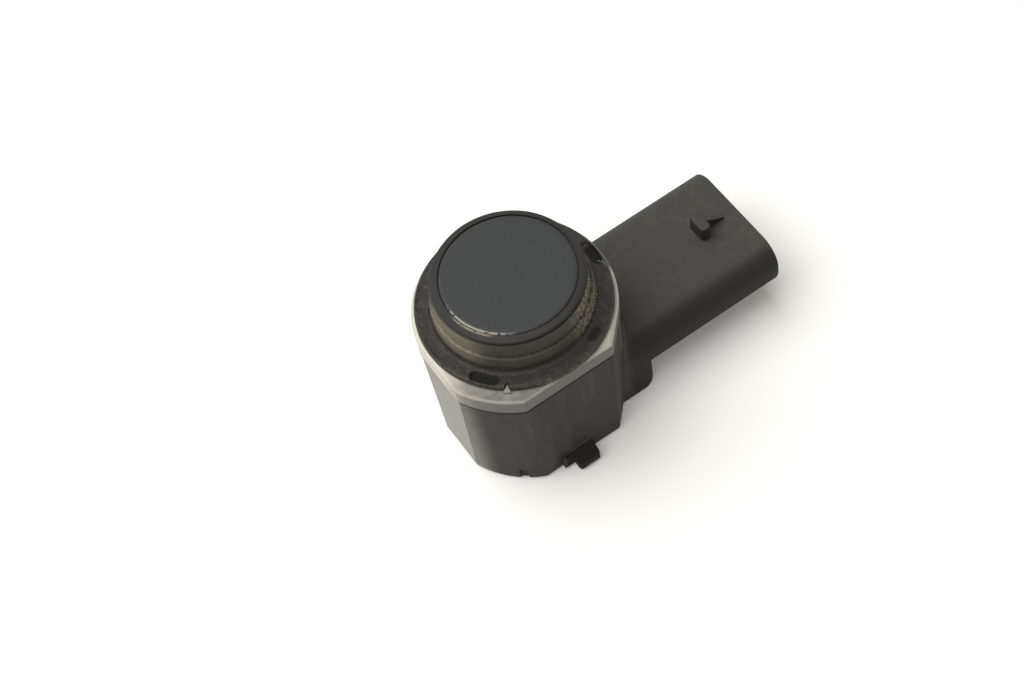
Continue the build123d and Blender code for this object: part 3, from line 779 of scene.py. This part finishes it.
def housing_plastic(settings):
    """Matt moulded plastic: fine grain, a film of dust, rubbed marks and scuffs, dust and a painted
    reflection on the face towards -X and in a narrow strip, and painted shade under the clamp ring
    and under the socket.
    """
    finish = Finish("housing_plastic", times(settings.plastic, 0.9))
    body = millimetres(chosen("sensor_ring")).body_radius
    top = top_of("housing")
    grain = finish.noise(0.11, 3, 0.6)
    cloud = finish.noise(2.4, 5, 0.6)
    film = finish.noise(1.3, 5, 0.65, shift=0.001)
    level = finish.upward.between(0.35, 0.95)
    finish.cover(cloud.between(0.35, 0.65), times(settings.plastic, 1.1))
    wide = finish.noise(4.0, 3, 0.5, shift=0.007)
    coat = level * (0.13 + 0.1 * film.between(0.4, 0.7) * wide.between(0.4, 0.65))
    finish.cover(coat + film.between(0.5, 0.8) * 0.04, settings.dust)
    finish.cover(grain.between(0.5, 0.8) * 0.12 * (0.3 + level), settings.dust)
    # Dust and painted reflection: the face towards -X is lightened with a mottled dust colour where
    # it reflects the bright floor
    lit_left = finish.towards_x.between(-0.78, -0.97)
    lit_left = lit_left * (finish.radius < body + 1.8) * (finish.y.size() < body - 1.4)
    mottled = film.between(0.3, 0.7)
    finish.cover(lit_left * (0.72 + 0.28 * mottled), times(settings.dust, 1.25))
    streaks = finish.noise(1.0, 4, 0.6, stretch=(1, 1, 0.15), shift=0.004)
    front = finish.towards_y.between(-0.5, -0.9) * finish.radius.between(body + 2.1, body + 1.5)
    finish.cover(front * streaks.between(0.45, 0.75) * 0.12, settings.dust)
    # Painted reflection: a narrow mottled pale band where the round side turns away
    reflection_strip = finish.facing(REFLECTION_STRIP).between(0.976, 0.995) * (finish.radius < body + 0.3)
    reflection_strip = reflection_strip * film.between(0.25, 0.5)
    finish.cover(reflection_strip * 0.5, settings.dust)
    # Painted shade along the housing's top edge under the clamp ring, except on the side that faces
    # the light
    seam_shade = finish.z.between(top - 0.4, top - 0.15)
    seam_shade = seam_shade * (1 - finish.facing(LIT_SEAM).between(0.75, 0.95))
    finish.cover(seam_shade * 0.8, times(settings.plastic, 0.15))
    lugs = (finish.y < 0.8 - body) + (finish.y > body - 0.2)
    lugs = lugs * (finish.z < LUG_HEIGHT) * (finish.x.size() < LUG_WIDTH / 2)
    finish.cover(lugs * 0.8, times(settings.plastic, 0.1))
    # Painted shade on the socket's sides that face down and to the front
    under = finish.towards_y.between(-0.25, -0.7) * finish.radius.between(body + 0.2, body + 1.2)
    under = under * (finish.x > SHROUD_START)
    finish.cover(under * 0.6, times(settings.plastic, 0.2))
    scratch = finish.streak(*SCRATCH, 0.06, 0.1)
    finish.cover(scratch * 0.8, settings.rubbed)
    finish.rounded_edges(0.12)
    finish.bump(grain, 0.025)
    finish.bump(cloud, 0.04)
    rough = 0.62 + cloud * 0.1 - 0.35 * lit_left + 0.25 * lugs + 0.12 * under
    return finish.finish(rough, IOR=1.39)


def plain(name, shade, roughness, metallic=0.0, grain=0.2, depth=0.01):
    """Moulded, cast or plated finish with a grain of this size and depth in millimetres."""
    finish = Finish(name, times(shade, 0.82))
    cloud = finish.noise(grain * 9, 3, 0.6)
    finish.cover(cloud.between(0.35, 0.65), shade)
    finish.rounded_edges(0.04)
    finish.bump(finish.noise(grain, 3, 0.6), depth)
    return finish.finish(roughness + cloud * 0.12, Metallic=metallic)


def grit_tree(material):
    """Grains scattered over the part of a surface near one bearing, between two heights."""
    tree = bpy.data.node_groups.new("scattered_grit", "GeometryNodeTree")
    for name, kind in (
        ("Surface", "NodeSocketGeometry"),
        ("Density", "NodeSocketFloat"),
        ("Grain", "NodeSocketFloat"),
        ("Bearing", "NodeSocketFloat"),
        ("Spread", "NodeSocketFloat"),
        ("Lowest", "NodeSocketFloat"),
        ("Highest", "NodeSocketFloat"),
        ("Innermost", "NodeSocketFloat"),
        ("Seed", "NodeSocketInt"),
    ):
        tree.interface.new_socket(name=name, in_out="INPUT", socket_type=kind)
    tree.interface.new_socket(name="Grit", in_out="OUTPUT", socket_type="NodeSocketGeometry")
    nodes = Nodes(tree)
    given = nodes.node("NodeGroupInput").outputs
    value = {socket.name: Value(nodes, socket) for socket in given if socket.type == "VALUE"}
    x, y, z = nodes.axes(nodes.node("GeometryNodeInputPosition").outputs[0])
    radius = (x * x + y * y) ** 0.5
    bearing, limit = value["Bearing"], value["Spread"].math("COSINE", value["Spread"])
    facing = (x * bearing.math("COSINE", bearing) + y * bearing.math("SINE", bearing)) / radius
    share = ((facing - limit) / (1 - limit)).at_least(0)
    share = share * (z > value["Lowest"]) * (z < value["Highest"]) * (radius > value["Innermost"])
    points = nodes.node(
        "GeometryNodeDistributePointsOnFaces",
        None,
        {"Mesh": given["Surface"], "Density": value["Density"] * share, "Seed": given["Seed"]},
    )
    grain = nodes.node(
        "GeometryNodeMeshIcoSphere", None, {"Radius": value["Grain"] / 2, "Subdivisions": 1}
    )
    scale = nodes.node(
        "FunctionNodeRandomValue",
        {"data_type": "FLOAT_VECTOR"},
        {0: (0.25, 0.25, 0.25), 1: (1.0, 1.0, 1.0), "Seed": given["Seed"]},
    )
    placed = nodes.node(
        "GeometryNodeInstanceOnPoints",
        None,
        {
            "Points": points.outputs["Points"],
            "Instance": grain.outputs["Mesh"],
            "Rotation": points.outputs["Rotation"],
            "Scale": scale.outputs[0],
        },
    )
    real = nodes.node("GeometryNodeRealizeInstances", None, {0: placed.outputs[0]})
    covered = nodes.node(
        "GeometryNodeSetMaterial", None, {"Geometry": real.outputs[0], "Material": material}
    )
    nodes.node("NodeGroupOutput", None, {0: covered.outputs[0]})
    return tree


def scattered(name, surface, tree, inputs, material):
    """Plain mesh object of what the tree makes from a copy of a surface."""
    piece = bpy.data.objects.new(name, surface.data.copy())
    bpy.context.scene.collection.objects.link(piece)
    modifier = piece.modifiers.new("scatter", "NODES")
    modifier.node_group = tree
    for socket in tree.interface.items_tree:
        if socket.name in inputs:
            modifier[socket.identifier] = inputs[socket.name]
    evaluated = piece.evaluated_get(bpy.context.evaluated_depsgraph_get())
    mesh = bpy.data.meshes.new_from_object(evaluated)
    piece.modifiers.remove(modifier)
    mesh.materials.clear()
    mesh.materials.append(material)
    piece.data = mesh
    mesh.name = name
    return piece


# Operators


class SENSOR_OT_face(bpy.types.Operator):
    """Make the membrane cup with its painted face"""

    bl_idname = "sensor.face"
    bl_label = "Face"

    def execute(self, context):
        settings = chosen("sensor_face")
        size = millimetres(settings)
        top, bottom = top_of("transducer_cup"), bottom_of("transducer_cup")
        under = top - size.rim_thickness
        waist = size.radius - size.cup_step
        corners = [
            (0, top, 0),
            (size.radius * 0.5, top - size.crown * 0.25, 0),
            (size.radius, top - size.crown, size.edge_rounding),
            (size.radius, under, 0.1),
            (waist, under, 0),
            (waist, bottom, 0.2),
            (0, bottom, 0),
        ]
        outline = divided(rounded(corners, False), 0.6, False)
        piece = turned("membrane_cup", outline, circle(360), False, face_paint(settings))
        settled(piece, "face_paint", "transducer_cup")
        return {"FINISHED"}


class SENSOR_OT_rubber(bpy.types.Operator):
    """Make the rubber decoupling ring with its lip, neck, flange and dimples"""

    bl_idname = "sensor.rubber"
    bl_label = "Decoupling ring"
    # Bearing of each dimple in degrees, and the share of it that dirt fills
    dimples = {-2: 0.1, 38: 0.6, 141: 0.75, 179: 0.8, OPEN_DIMPLE: 0.0, 321: 0.75}
    # How many corners of the outline are in view, from the groove down to the clamp ring
    in_view = 12

    def outline(self, size):
        """Corners of the ring's section, from the groove over the lip and neck and back inside."""
        rim, ring = top_of("decoupling_ring"), millimetres(chosen("sensor_ring"))
        housing_top, bottom = top_of("housing"), bottom_of("decoupling_ring")
        ring_top = housing_top + ring.thickness
        face = reach_of("transducer_cup")
        lip = face + size.lip_width
        neck = lip + size.neck_step
        seam_top = rim - size.lip_height
        seam_bottom = seam_top - size.seam_height
        ledge = rim - size.ledge_drop
        groove_top = housing_top + ring.lip_height + ring.lip_clearance
        bead_top = housing_top - ring.lip_clearance
        return [
            (face + size.groove_gap, rim, 0.1),
            (lip, rim - size.lip_fall, size.lip_rounding),
            (lip, seam_top, 0.05),
            (lip - size.lip_fall - 0.04, seam_top, 0),
            (neck - size.seam_depth, seam_bottom, 0),
            (neck, seam_bottom, 0.05),
            (neck, ledge, 0),
            (neck + size.ledge_width, ledge, 0.11),
            (size.foot_radius, flange_top(), size.cove_radius),
            (size.flange_radius, flange_top(), size.flange_rounding),
            (size.flange_radius, ring_top, 0.1),
            (size.skirt_radius, ring_top, 0),
            (size.skirt_radius, groove_top, 0),
            (size.snap_radius, groove_top, 0),
            (size.snap_radius, bead_top, 0),
            (size.bead_radius, bead_top, 0.1),
            (size.bead_radius, bead_top - 1, 0.3),
            (size.snap_radius, bottom, 0.2),
            (size.mouth_radius, bottom, 0.1),
            (size.mouth_radius, bottom + 0.7, 0.1),
            (size.bore_radius, bottom + 0.7, 0),
            (size.bore_radius, rim - 1.5, 0),
            (face + 0.01, rim - 1.5, 0),
            (face + 0.01, rim - size.groove_depth, 0),
            (face + size.groove_gap, rim - size.groove_depth, 0),
        ]

    def execute(self, context):
        settings = chosen("sensor_rubber")
        size = millimetres(settings)
        key = chosen("sensor_ring")
        tooth = millimetres(key)
        corners = self.outline(size)
        top, rim = flange_top(), top_of("decoupling_ring")
        ring_top = top_of("housing") + tooth.thickness
        slope = (tooth.tooth_reach + tooth.overhang + tooth.chamfer) / (tooth.tooth_width / 2)
        tip = size.flange_radius - tooth.tooth_reach - tooth.tooth_gap * math.hypot(1, slope)

        def shape(turn, radius, height):
            outer = (radius > size.skirt_radius - 1.2) & (height > ring_top - 0.05)
            wave = ripple(turn, height, 2.3, 4.0) * size.waviness
            lean = size.lip_lean * np.clip((height - top - 0.5) / (rim - top - 1), 0, 1)
            lean = lean * np.cos(turned_from(turn, LEANING_LIP))
            radius = radius + np.where(outer, wave + lean, 0)
            half = (size.dimple_length - size.dimple_width) / 2
            reach = size.dimple_width / 2 + size.dimple_softness / 3
            for bearing, filled in self.dimples.items():
                across = turned_from(turn, bearing) * size.dimple_radius
                away = np.hypot(np.maximum(np.abs(across) - half, 0), radius - size.dimple_radius)
                share = np.clip((reach - away) / size.dimple_softness, 0, 1)
                share = share * share * (3 - 2 * share) * (1 - filled)
                height = height - np.where(height > top - 0.15, size.dimple_depth * share, 0)
            from_tooth = turned_from(turn, math.degrees(key.tooth_bearing))
            across = np.abs(from_tooth) * size.flange_radius
            on_flange = outer & (height < top + 0.05)
            return np.where(on_flange, np.minimum(radius, tip + across * slope), radius), height

        seen = divided(rounded(corners[: self.in_view], False), 0.09, False)
        hidden = rounded(corners[self.in_view - 1 :] + corners[:1], False)
        outline = np.concatenate((seen, hidden[1:-1]))
        notch = key.tooth_bearing + np.linspace(-0.05, 0.05, 41)
        angles = circle(720, notch)
        piece = turned("rubber_mount", outline, angles, True, rubber(settings), shape)
        settled(piece, "rubber", "decoupling_ring")
        return {"FINISHED"}


class SENSOR_OT_clamp_ring(bpy.types.Operator):
    """Make the pale clamp ring with its tooth"""

    bl_idname = "sensor.clamp_ring"
    bl_label = "Clamp ring"

    def outline(self, size):
        """Corners of the ring's section on its round side."""
        bottom = top_of("housing")
        top = bottom + size.thickness
        outer = size.body_radius + size.overhang
        rubber = millimetres(chosen("sensor_rubber"))
        inner = size.spigot_radius - size.spigot_wall
        foot = bottom_of("retaining_ring")
        grip = rubber.snap_radius + size.lip_clearance
        bore = rubber.skirt_radius + size.clearance
        soft = size.edge_rounding
        return [
            (bore, top, 0.05),
            (outer - size.chamfer, top, soft),
            (outer, top - size.chamfer, soft),
            (outer, bottom + size.chamfer, soft),
            (outer - size.chamfer, bottom, soft),
            (size.spigot_radius, bottom, 0),
            (size.spigot_radius, foot, 0.08),
            (inner, foot, 0.08),
            (inner, bottom, 0),
            (grip, bottom, 0.05),
            (grip, bottom + size.lip_height, 0.05),
            (bore, bottom + size.lip_height, 0),
        ]

    def execute(self, context):
        settings = chosen("sensor_ring")
        size = millimetres(settings)
        material = ring_plastic(settings)
        key = keyed_outline(size, size.overhang)

        def shape(turn, radius, height):
            start = size.body_radius - size.key_depth
            share = np.clip((radius - start) / (size.key_depth / 2), 0, 1)
            wave = ripple(turn, height * 0.4, 5.0, 9.0) * size.waviness
            moved = keyed_radius(turn, key) - key.base + wave
            return radius + share * moved, height + share * 0.8 * wave

        outline = divided(rounded(self.outline(size), True), 0.25, True)
        angles = circle(720, key.meets)
        piece = turned("clamp_ring", outline, angles, True, material, shape)
        settled(piece, "ring_plastic", "retaining_ring")
        settled(self.tooth(settings, size, material), "ring_plastic")
        return {"FINISHED"}

    def tooth(self, settings, size, material):
        """Small wedge beside the flange that keeps it from turning."""
        rubber = millimetres(chosen("sensor_rubber"))
        turn = settings.tooth_bearing
        tip = rubber.flange_radius - size.tooth_reach
        root = rubber.flange_radius + size.overhang + size.chamfer
        plan = np.array([(tip, 0), (root, size.tooth_width / 2), (root, -size.tooth_width / 2)])
        seat = top_of("housing") + size.thickness
        top = seat + rubber.flange_thickness + size.tooth_proud
        vertices = []
        levels = ((seat - 0.1, 1.0), (top - size.tooth_bevel, 0.96), (top, 0.82))
        for height, share in levels:
            for along, across in plan.mean(axis=0) + (plan - plan.mean(axis=0)) * share:
                x = along * math.cos(turn) - across * math.sin(turn)
                y = along * math.sin(turn) + across * math.cos(turn)
                fall = (along - tip) / (root - tip) * size.tooth_fall if height > seat else 0
                vertices.append((x, y, height - fall))
        faces = [(0, 2, 1), (6, 7, 8)]
        for level in (0, 3):
            for side in range(3):
                after = (side + 1) % 3
                faces.append((level + side, level + after, level + 3 + after, level + 3 + side))
        return made("clamp_ring_tooth", vertices, faces, material)


class SENSOR_OT_housing(bpy.types.Operator):
    """Give the moulded housing its finish"""

    bl_idname = "sensor.housing"
    bl_label = "Housing"

    def execute(self, context):
        dress("housing", housing_plastic(chosen("sensor_housing")))
        return {"FINISHED"}


class SENSOR_OT_grit(bpy.types.Operator):
    """Scatter sand on the rubber and lay the curl of torn rubber on its flange"""

    bl_idname = "sensor.grit"
    bl_label = "Grit"

    def execute(self, context):
        settings = chosen("sensor_grit")
        rubber = bpy.data.objects.get("rubber_mount")
        if rubber is None:
            raise RuntimeError("The decoupling ring comes before its grit")
        size = millimetres(chosen("sensor_rubber"))
        top = flange_top()
        sand = plain("sand", settings.sand, 0.8, 0.0, 0.05, 0.01)
        inputs = {
            "Density": settings.density / MM**2,
            "Grain": settings.grain,
            "Bearing": settings.bearing,
            "Spread": settings.spread,
            "Lowest": top * MM + settings.lowest,
            "Highest": top * MM + settings.highest,
            "Innermost": size.foot_radius * MM - settings.inward,
            "Seed": settings.seed,
        }
        settled(scattered("sand_grains", rubber, grit_tree(sand), inputs, sand), "rubber")
        path = []
        for bearing, radius in CURL:
            turn = math.radians(bearing)
            path.append((radius * math.cos(turn), radius * math.sin(turn), top + 0.08))
        curl = plain("torn_rubber", (0.20, 0.18, 0.19), 0.5, 0.0, 0.1, 0.01)
        settled(swept("flange_curl", path, 0.16, curl), "rubber")
        return {"FINISHED"}


class SENSOR_OT_inside(bpy.types.Operator):
    """Give the terminals, the potting and the electronics their finishes"""

    bl_idname = "sensor.inside"
    bl_label = "Terminals and electronics"

    def execute(self, context):
        pins = ("contact_pin_a", "contact_pin_b")
        terminals = ("terminal_supply", "terminal_signal", "terminal_ground")
        windings = ("lead_wire_a", "lead_wire_b", "transformer_winding")
        chips = ("control_chip", "suppression_diode", "transformer_base")
        capacitors = ("ceramic_capacitor_1", "ceramic_capacitor_2", "ceramic_capacitor_3")
        resistors = ("resistor_1", "resistor_2", "resistor_3")
        finishes = {
            pins + terminals: plain("tin_plate", (0.62, 0.6, 0.56), 0.28, 1.0, 0.08, 0.003),
            ("potting_compound",): plain("cast_resin", (0.03, 0.028, 0.024), 0.3, 0.0, 1.2, 0.05),
            ("circuit_board",): plain("board_lacquer", (0.03, 0.12, 0.05), 0.3, 0.0, 0.3, 0.01),
            ("contact_carrier",): plain("carrier_moulding", (0.5, 0.47, 0.38), 0.5),
            ("damping_foam",): plain("closed_foam", (0.06, 0.06, 0.065), 0.85, 0.0, 0.25, 0.08),
            ("piezo_disc",): plain("silvered_ceramic", (0.6, 0.59, 0.55), 0.4, 0.6),
            windings: plain("enamelled_copper", (0.55, 0.22, 0.1), 0.3, 1.0, 0.1, 0.004),
            ("transformer_core",): plain("sintered_core", (0.035, 0.034, 0.034), 0.55),
            ("storage_capacitor",): plain("drawn_aluminium", (0.7, 0.7, 0.71), 0.3, 1.0),
            chips: plain("moulded_resin", (0.02, 0.02, 0.02), 0.5),
            capacitors: plain("fired_ceramic", (0.32, 0.2, 0.1), 0.45),
            resistors: plain("resistor_glaze", (0.02, 0.02, 0.022), 0.25),
        }
        for nodes, material in finishes.items():
            for node in nodes:
                dress(node, material)
        return {"FINISHED"}


class SENSOR_OT_stage(bpy.types.Operator):
    """Set the floor, the light and the camera"""

    bl_idname = "sensor.stage"
    bl_label = "Stage"

    def execute(self, context):
        settings = chosen("sensor_stage")
        self.floor(settings)
        self.light(settings)
        self.camera(settings)
        context.scene.view_settings.view_transform = "Standard"
        return {"FINISHED"}

    def seen(self, nodes):
        """1 for rays from the camera, gloss or glass, and 0 for the light on the object."""
        rays = nodes.node("ShaderNodeLightPath").outputs
        seen = Value(nodes, rays["Is Camera Ray"])
        for name in ("Is Glossy Ray", "Is Transmission Ray"):
            seen = seen.at_least(Value(nodes, rays[name]))
        return seen

    def floor(self, settings):
        finish = Finish("floor_paint", settings.floor)
        reach, level = settings.floor_reach / MM, -settings.floor_drop / MM
        corners = [(x * reach, y * reach, level) for x, y in ((-1, -1), (1, -1), (1, 1), (-1, 1))]
        floor = made("floor", corners, [(0, 1, 2, 3)], finish.material)
        glow = [settings.floor_glow] * 3
        emission = finish.mix(self.seen(finish), (0, 0, 0), glow)
        finish.tree.links.new(emission, finish.shader.inputs["Emission Color"])
        finish.finish(0.9, Emission_Strength=1.0, Specular_IOR_Level=0.0)

    def light(self, settings):
        world = bpy.data.worlds.new("soft_light")
        world.use_nodes = True
        nodes = Nodes(world.node_tree)
        background = world.node_tree.nodes["Background"]
        sky = nodes.node(
            "ShaderNodeMix",
            {"data_type": "RGBA"},
            {
                "Factor": self.seen(nodes),
                6: rgba(times(settings.sky, settings.sky_strength)),
                7: (1, 1, 1, 1),
            },
        )
        nodes.feed(background.inputs["Color"], sky.outputs[2])
        bpy.context.scene.world = world
        lamp = bpy.data.lights.new("key_light", "SUN")
        lamp.energy = settings.sun_strength
        lamp.angle = settings.sun_spread
        light = bpy.data.objects.new("key_light", lamp)
        level = math.cos(settings.sun_height)
        towards = Vector(
            (
                level * math.cos(settings.sun_bearing),
                level * math.sin(settings.sun_bearing),
                math.sin(settings.sun_height),
            )
        )
        light.rotation_euler = towards.to_track_quat("Z", "Y").to_euler()
        bpy.context.scene.collection.objects.link(light)

    def camera(self, settings):
        turn = -math.pi / 2 - settings.azimuth
        level = math.cos(settings.elevation)
        height = math.sin(settings.elevation)
        back = Vector((level * math.cos(turn), level * math.sin(turn), height))
        right = Vector((-math.sin(turn), math.cos(turn), 0))
        up = back.cross(right)
        aim = Matrix((right, up, back)).transposed()
        aim = aim @ Matrix.Rotation(-settings.roll, 3, "Z")
        aim = aim @ Matrix.Rotation(settings.pan, 3, "Y") @ Matrix.Rotation(settings.tilt, 3, "X")
        place = Vector((0, 0, settings.target_height)) + back * settings.distance
        lens = bpy.data.cameras.new("camera")
        lens.sensor_width = 36
        lens.lens = settings.lens
        lens.clip_start = 0.005
        camera = bpy.data.objects.new("camera", lens)
        camera.matrix_world = Matrix.Translation(place) @ aim.to_4x4()
        bpy.context.scene.collection.objects.link(camera)
        bpy.context.scene.camera = camera


class SENSOR_PT_sidebar(bpy.types.Panel):
    """Lists the operators and their settings in the 3D view's sidebar"""

    bl_idname = "SENSOR_PT_sidebar"
    bl_label = "Parking sensor"
    bl_space_type = "VIEW_3D"
    bl_region_type = "UI"
    bl_category = "Sensor"

    def draw(self, context):
        for operator in OPERATORS:
            self.layout.operator(operator.bl_idname)
        for name, group in SETTINGS.items():
            settings = getattr(context.scene, name)
            for field in group.__annotations__:
                self.layout.prop(settings, field)


OPERATORS = (
    SENSOR_OT_face,
    SENSOR_OT_rubber,
    SENSOR_OT_clamp_ring,
    SENSOR_OT_housing,
    SENSOR_OT_grit,
    SENSOR_OT_inside,
    SENSOR_OT_stage,
)
SETTINGS = {
    "sensor_face": FaceSettings,
    "sensor_rubber": RubberSettings,
    "sensor_ring": RingSettings,
    "sensor_housing": HousingSettings,
    "sensor_grit": GritSettings,
    "sensor_stage": StageSettings,
}
CLASSES = (*SETTINGS.values(), *OPERATORS, SENSOR_PT_sidebar)


def register():
    for each in CLASSES:
        bpy.utils.register_class(each)
    for name, group in SETTINGS.items():
        setattr(bpy.types.Scene, name, PointerProperty(type=group))


def unregister():
    for name in SETTINGS:
        delattr(bpy.types.Scene, name)
    for each in reversed(CLASSES):
        bpy.utils.unregister_class(each)


def main():
    register()
    bpy.ops.sensor.face()
    bpy.ops.sensor.rubber()
    bpy.ops.sensor.clamp_ring()
    bpy.ops.sensor.housing()
    bpy.ops.sensor.grit()
    bpy.ops.sensor.inside()
    bpy.ops.sensor.stage()
    bpy.context.view_layer.update()


if __name__ == "__main__":
    main()
